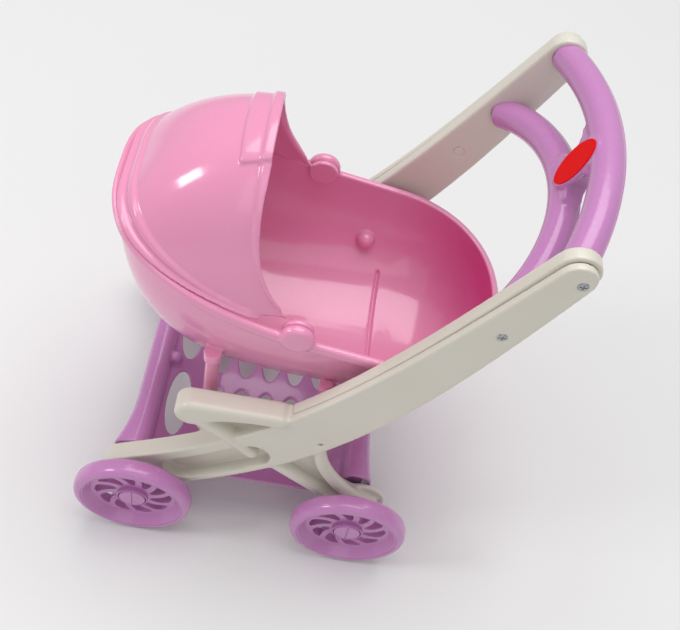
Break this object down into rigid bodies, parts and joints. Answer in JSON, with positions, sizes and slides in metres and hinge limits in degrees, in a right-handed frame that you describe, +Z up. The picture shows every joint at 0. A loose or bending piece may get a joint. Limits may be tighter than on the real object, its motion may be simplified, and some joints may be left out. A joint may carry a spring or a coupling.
{
  "type": "doll stroller",
  "caption": "Doll stroller with a tilting hood over a moulded cot, curved side frames, a bowed double push handle, an under-basket and spoked wheels on steel axles.",
  "frame": {"origin": "on the ground under the middle of the stroller, midway between the front of the wheels and the back of the handle", "axes": "+Z up, -Y towards the hood end that leads when it is pushed, +X to the stroller's left"},
  "size_m": [0.2868, 0.3673, 0.4353],
  "materials": {
    "pink_plastic": "glossy pink injection-moulded plastic",
    "lilac_plastic": "glossy lilac injection-moulded plastic",
    "cream_plastic": "satin cream-grey injection-moulded plastic",
    "steel": "bright zinc-plated steel",
    "badge_red": "plain glossy red oval sticker"
  },
  "bodies": {
    "chassis": {"frame_left": "cream_plastic", "frame_right": "cream_plastic", "arm_cover_left": "cream_plastic", "arm_cover_right": "cream_plastic", "handle_upper_shell": "lilac_plastic", "handle_lower_shell": "lilac_plastic", "handle_badge": "badge_red", "handle_screws": "steel", "cover_screws": "steel", "basket": "lilac_plastic", "front_axle": "steel", "rear_axle": "steel", "axle_retainers": "steel", "cot_tub": "pink_plastic", "post_front_left": "pink_plastic", "post_front_right": "pink_plastic", "post_rear_left": "pink_plastic", "post_rear_right": "pink_plastic"},
    "wheel_front_left": {"wheel_front_left": "lilac_plastic", "hub_cap_front_left": "lilac_plastic"},
    "wheel_front_right": {"wheel_front_right": "lilac_plastic", "hub_cap_front_right": "lilac_plastic"},
    "wheel_rear_left": {"wheel_rear_left": "lilac_plastic", "hub_cap_rear_left": "lilac_plastic"},
    "wheel_rear_right": {"wheel_rear_right": "lilac_plastic", "hub_cap_rear_right": "lilac_plastic"},
    "hood": {"hood": "pink_plastic"}
  },
  "joints": [
    {"name": "front_left_wheel_spin", "type": "hinge", "parent": "chassis", "child": "wheel_front_left", "pos_m": [0.1314, -0.13165, 0.052], "axis": [1, 0, 0], "continuous": true},
    {"name": "front_right_wheel_spin", "type": "hinge", "parent": "chassis", "child": "wheel_front_right", "pos_m": [-0.1314, -0.13165, 0.052], "axis": [1, 0, 0], "continuous": true},
    {"name": "rear_left_wheel_spin", "type": "hinge", "parent": "chassis", "child": "wheel_rear_left", "pos_m": [0.1314, 0.06035, 0.052], "axis": [1, 0, 0], "continuous": true},
    {"name": "rear_right_wheel_spin", "type": "hinge", "parent": "chassis", "child": "wheel_rear_right", "pos_m": [-0.1314, 0.06035, 0.052], "axis": [1, 0, 0], "continuous": true},
    {"name": "hood_lift", "type": "hinge", "parent": "chassis", "child": "hood", "pos_m": [0, -0.01465, 0.265], "axis": [-1, 0, 0], "range_deg": [0, 70]}
  ]
}
